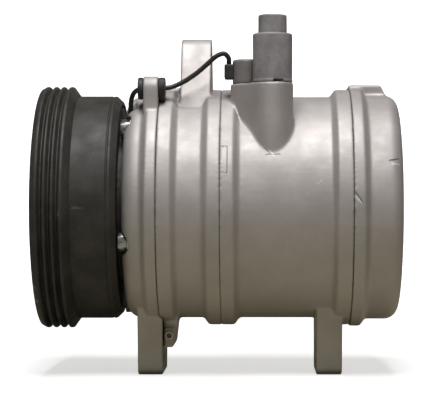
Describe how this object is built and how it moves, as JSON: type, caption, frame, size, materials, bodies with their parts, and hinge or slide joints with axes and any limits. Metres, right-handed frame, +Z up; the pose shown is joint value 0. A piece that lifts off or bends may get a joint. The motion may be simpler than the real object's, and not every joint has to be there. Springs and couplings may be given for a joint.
{
  "type": "automotive air conditioning compressor",
  "caption": "Belt-driven swash-plate air conditioning compressor with a grooved clutch pulley, flanged barrel castings, mounting feet and capped hose ports.",
  "frame": {"origin": "on the shaft axis, in the middle plane of the belt grooves", "axes": "+X along the shaft from the pulley towards the rear housing, +Z up, away from the feet, towards the hose ports"},
  "size_m": [0.164, 0.112, 0.1622],
  "materials": {
    "casting": "silver-grey painted die-cast aluminium, satin",
    "black_paint": "black stoved paint, satin",
    "bright_steel": "zinc-plated and ground steel",
    "dark_steel": "oil-blackened spring steel",
    "machined": "machined aluminium",
    "bronze": "brass and bronze",
    "copper_winding": "enamelled winding potted in resin",
    "rubber": "black moulded rubber",
    "cap_grey": "dark grey moulded cap",
    "switch_grey": "grey painted metal can",
    "lead_black": "black cable sleeve"
  },
  "bodies": {
    "root": {"front_housing": "casting", "front_cylinder": "casting", "rear_cylinder": "casting", "rear_housing": "casting", "valve_plates": "bright_steel", "suction_reeds": "bright_steel", "discharge_reeds": "bright_steel", "body_seals": "rubber", "through_bolts": "bright_steel", "bolt_washers": "bright_steel", "dowel_pins": "bright_steel", "needle_bearings": "bright_steel", "thrust_bearings": "bright_steel", "shaft_seal": "rubber", "seal_snap_ring": "dark_steel", "coil_shell": "black_paint", "coil_winding": "copper_winding", "coil_snap_ring": "dark_steel", "bearing_inner_ring": "bright_steel", "nose_snap_ring": "dark_steel", "coil_lead": "lead_black", "lead_grommet": "rubber", "lead_boot": "rubber", "thermal_switch": "switch_grey", "relief_valve": "bronze", "oil_plug": "bright_steel"},
    "pulley": {"belt_ring": "black_paint", "pulley": "black_paint", "bearing_outer_ring": "bright_steel", "bearing_seals": "rubber", "bearing_snap_ring": "dark_steel"},
    "bearing_cage": {"bearing_cage": "bronze", "bearing_balls": "bright_steel"},
    "shaft": {"shaft": "bright_steel", "swash_hub": "bright_steel", "clutch_hub": "black_paint", "hub_nut": "bright_steel", "drive_key": "bright_steel", "hub_rivets": "bright_steel", "leaf_springs": "dark_steel"},
    "armature": {"armature_plate": "black_paint", "armature_rivets": "bright_steel"},
    "swash_disc": {"swash_disc": "bronze"},
    "suction_cap": {"suction_port_cap": "cap_grey"},
    "discharge_cap": {"discharge_port_cap": "cap_grey"},
    "front_shoe_1": {"front_shoe_1": "bright_steel"},
    "rear_shoe_1": {"rear_shoe_1": "bright_steel"},
    "piston_1": {"piston_1": "machined"},
    "front_shoe_2": {"front_shoe_2": "bright_steel"},
    "rear_shoe_2": {"rear_shoe_2": "bright_steel"},
    "piston_2": {"piston_2": "machined"},
    "front_shoe_3": {"front_shoe_3": "bright_steel"},
    "rear_shoe_3": {"rear_shoe_3": "bright_steel"},
    "piston_3": {"piston_3": "machined"},
    "front_shoe_4": {"front_shoe_4": "bright_steel"},
    "rear_shoe_4": {"rear_shoe_4": "bright_steel"},
    "piston_4": {"piston_4": "machined"},
    "front_shoe_5": {"front_shoe_5": "bright_steel"},
    "rear_shoe_5": {"rear_shoe_5": "bright_steel"},
    "piston_5": {"piston_5": "machined"}
  },
  "joints": [
    {"name": "pulley_spin", "type": "hinge", "parent": "root", "child": "pulley", "pos_m": [0, 0, 0], "axis": [1, 0, 0], "continuous": true},
    {"name": "cage_spin", "type": "hinge", "parent": "root", "child": "bearing_cage", "pos_m": [0, 0, 0], "axis": [1, 0, 0], "continuous": true},
    {"name": "shaft_spin", "type": "hinge", "parent": "root", "child": "shaft", "pos_m": [0, 0, 0], "axis": [1, 0, 0], "continuous": true},
    {"name": "armature_pull", "type": "slide", "parent": "shaft", "child": "armature", "axis": [1, 0, 0], "range_m": [0, 0.0004], "stiffness_N_per_m": 20000, "deforming": ["leaf_springs"]},
    {"name": "disc_turn", "type": "hinge", "parent": "shaft", "child": "swash_disc", "pos_m": [0.0904, 0, 0], "axis": [0.972, -0.0123, 0.2348], "continuous": true},
    {"name": "suction_cap_pull", "type": "slide", "parent": "root", "child": "suction_cap", "axis": [0, 0, 1], "range_m": [0, 0.02]},
    {"name": "discharge_cap_pull", "type": "slide", "parent": "root", "child": "discharge_cap", "axis": [0, 0, 1], "range_m": [0, 0.02]},
    {"name": "front_shoe_1_orbit", "type": "hinge", "parent": "swash_disc", "child": "front_shoe_1", "pos_m": [0.08811, 0.02937, 0.011], "axis": [0.972, -0.0123, 0.2348], "continuous": true},
    {"name": "rear_shoe_1_turn", "type": "hinge", "parent": "front_shoe_1", "child": "rear_shoe_1", "pos_m": [0.08808, 0.02894, 0.01111], "axis": [0.972, -0.0123, 0.2348], "continuous": true},
    {"name": "piston_1_stroke", "type": "hinge", "parent": "rear_shoe_1", "child": "piston_1", "pos_m": [0.08808, 0.02894, 0.01111], "axis": [1, 0, 0], "continuous": true},
    {"name": "front_shoe_2_orbit", "type": "hinge", "parent": "swash_disc", "child": "front_shoe_2", "pos_m": [0.08301, -0.0016, 0.03052], "axis": [0.972, -0.0123, 0.2348], "continuous": true},
    {"name": "rear_shoe_2_turn", "type": "hinge", "parent": "front_shoe_2", "child": "rear_shoe_2", "pos_m": [0.0829, -0.00162, 0.03096], "axis": [0.972, -0.0123, 0.2348], "continuous": true},
    {"name": "piston_2_stroke", "type": "hinge", "parent": "rear_shoe_2", "child": "piston_2", "pos_m": [0.0829, -0.00162, 0.03096], "axis": [1, 0, 0], "continuous": true},
    {"name": "front_shoe_3_orbit", "type": "hinge", "parent": "swash_disc", "child": "front_shoe_3", "pos_m": [0.08811, -0.03036, 0.00787], "axis": [0.972, -0.0123, 0.2348], "continuous": true},
    {"name": "rear_shoe_3_turn", "type": "hinge", "parent": "front_shoe_3", "child": "rear_shoe_3", "pos_m": [0.08808, -0.02994, 0.00802], "axis": [0.972, -0.0123, 0.2348], "continuous": true},
    {"name": "piston_3_stroke", "type": "hinge", "parent": "rear_shoe_3", "child": "piston_3", "pos_m": [0.08808, -0.02994, 0.00802], "axis": [1, 0, 0], "continuous": true},
    {"name": "front_shoe_4_orbit", "type": "hinge", "parent": "swash_disc", "child": "front_shoe_4", "pos_m": [0.09638, -0.01716, -0.02566], "axis": [0.972, -0.0123, 0.2348], "continuous": true},
    {"name": "rear_shoe_4_turn", "type": "hinge", "parent": "front_shoe_4", "child": "rear_shoe_4", "pos_m": [0.09647, -0.01688, -0.026], "axis": [0.972, -0.0123, 0.2348], "continuous": true},
    {"name": "piston_4_stroke", "type": "hinge", "parent": "rear_shoe_4", "child": "piston_4", "pos_m": [0.09647, -0.01688, -0.026], "axis": [1, 0, 0], "continuous": true},
    {"name": "front_shoe_5_orbit", "type": "hinge", "parent": "swash_disc", "child": "front_shoe_5", "pos_m": [0.09638, 0.01975, -0.02373], "axis": [0.972, -0.0123, 0.2348], "continuous": true},
    {"name": "rear_shoe_5_turn", "type": "hinge", "parent": "front_shoe_5", "child": "rear_shoe_5", "pos_m": [0.09647, 0.01951, -0.02409], "axis": [0.972, -0.0123, 0.2348], "continuous": true},
    {"name": "piston_5_stroke", "type": "hinge", "parent": "rear_shoe_5", "child": "piston_5", "pos_m": [0.09647, 0.01951, -0.02409], "axis": [1, 0, 0], "continuous": true}
  ],
  "couplings": [
    {"joint": "cage_spin", "follows": "pulley_spin", "ratio": 0.58889},
    {"joint": "disc_turn", "follows": "shaft_spin", "ratio": -1},
    {"joint": "front_shoe_1_orbit", "follows": "shaft_spin", "ratio": 2},
    {"joint": "rear_shoe_1_turn", "follows": "shaft_spin", "ratio": -1},
    {"joint": "piston_1_stroke", "follows": "shaft_spin", "ratio": -1},
    {"joint": "front_shoe_2_orbit", "follows": "shaft_spin", "ratio": 2},
    {"joint": "rear_shoe_2_turn", "follows": "shaft_spin", "ratio": -1},
    {"joint": "piston_2_stroke", "follows": "shaft_spin", "ratio": -1},
    {"joint": "front_shoe_3_orbit", "follows": "shaft_spin", "ratio": 2},
    {"joint": "rear_shoe_3_turn", "follows": "shaft_spin", "ratio": -1},
    {"joint": "piston_3_stroke", "follows": "shaft_spin", "ratio": -1},
    {"joint": "front_shoe_4_orbit", "follows": "shaft_spin", "ratio": 2},
    {"joint": "rear_shoe_4_turn", "follows": "shaft_spin", "ratio": -1},
    {"joint": "piston_4_stroke", "follows": "shaft_spin", "ratio": -1},
    {"joint": "front_shoe_5_orbit", "follows": "shaft_spin", "ratio": 2},
    {"joint": "rear_shoe_5_turn", "follows": "shaft_spin", "ratio": -1},
    {"joint": "piston_5_stroke", "follows": "shaft_spin", "ratio": -1}
  ]
}
